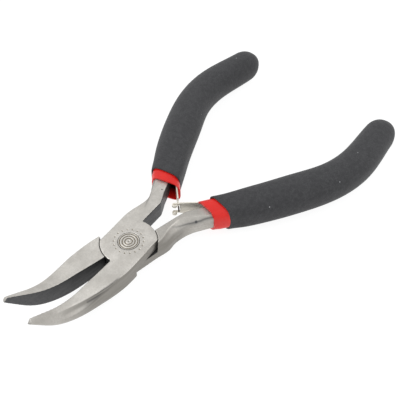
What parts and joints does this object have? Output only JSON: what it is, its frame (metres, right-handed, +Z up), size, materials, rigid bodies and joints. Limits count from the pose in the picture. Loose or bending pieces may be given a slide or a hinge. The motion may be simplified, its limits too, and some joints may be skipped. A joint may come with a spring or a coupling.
{
  "type": "bent needle nose pliers",
  "caption": "Small sprung pliers with slim upward-bent tapering jaws on a riveted lap joint, interlocking leaf springs and curved cushioned handle sleeves.",
  "frame": {"origin": "on the pivot axis, at the flush underside of the lap joint", "axes": "-Y towards the jaw tips, +Y towards the handle ends, +Z up along the pivot axis, the way the nose bends, +X towards the right handle"},
  "size_m": [0.069, 0.1269, 0.0163],
  "materials": {
    "steel": "satin, fine ground",
    "rivet_steel": "satin, ground flush",
    "spring_steel": "satin",
    "red_plastic": "gloss",
    "black_foam": "matte, fine grain"
  },
  "bodies": {
    "lever_upper": {"lever_upper": "steel", "pivot_rivet": "rivet_steel", "sleeve_inner_left": "red_plastic", "grip_outer_left": "black_foam"},
    "lever_lower": {"lever_lower": "steel", "sleeve_inner_right": "red_plastic", "grip_outer_right": "black_foam"},
    "leaf_fork": {"spring_fork": "spring_steel"},
    "leaf_tee": {"spring_tee": "spring_steel"}
  },
  "joints": [
    {"name": "pivot", "type": "hinge", "parent": "lever_upper", "child": "lever_lower", "pos_m": [0, 0, 0.00285], "axis": [0, 0, 1], "range_deg": [0, 13.2], "stiffness_Nm_per_rad": 1, "springref_deg": -1.72},
    {"name": "fork_flex", "type": "hinge", "parent": "lever_lower", "child": "leaf_fork", "pos_m": [0.01159, 0.03447, 0.00285], "axis": [0, 0, 1], "range_deg": [0, 8]},
    {"name": "tee_flex", "type": "hinge", "parent": "lever_upper", "child": "leaf_tee", "pos_m": [-0.01159, 0.03447, 0.00285], "axis": [0, 0, 1], "range_deg": [-8, 0]}
  ],
  "couplings": [
    {"joint": "fork_flex", "follows": "pivot", "ratio": 0.57},
    {"joint": "tee_flex", "follows": "pivot", "ratio": -0.57}
  ]
}
